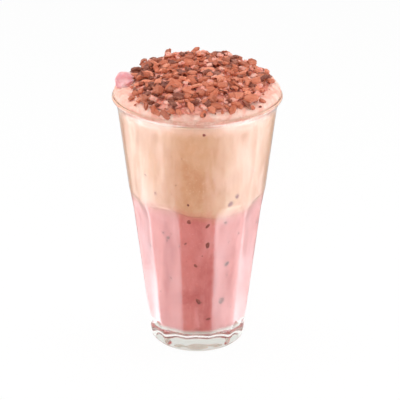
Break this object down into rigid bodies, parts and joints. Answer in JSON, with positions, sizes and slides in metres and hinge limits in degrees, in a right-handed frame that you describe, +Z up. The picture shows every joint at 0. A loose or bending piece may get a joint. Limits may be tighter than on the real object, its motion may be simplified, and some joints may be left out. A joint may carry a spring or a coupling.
{
  "type": "strawberry milkshake in a fluted tumbler",
  "caption": "Two-layer milkshake in a clear fluted tumbler, with a cream pillow and a domed heap of chipped chocolate over the rim.",
  "frame": {"origin": "on the surface that the glass stands on, under the centre of its foot", "axes": "+Z up along the glass's centre line, -Y towards the viewer of the front, +X to that viewer's right"},
  "size_m": [0.0876, 0.0876, 0.1505],
  "materials": {
    "clear_glass": "clear, polished, pressed glass",
    "strawberry_shake": null,
    "cream_shake": null,
    "pink_cream": null,
    "chocolate": "chipped milk chocolate, dull broken faces",
    "rose_cream": null
  },
  "bodies": {
    "root": {"tumbler": "clear_glass", "strawberry_shake": "strawberry_shake", "cream_shake": "cream_shake", "cream_pillow": "pink_cream", "chocolate_heap": "chocolate", "rose_dab": "rose_cream"}
  },
  "joints": []
}
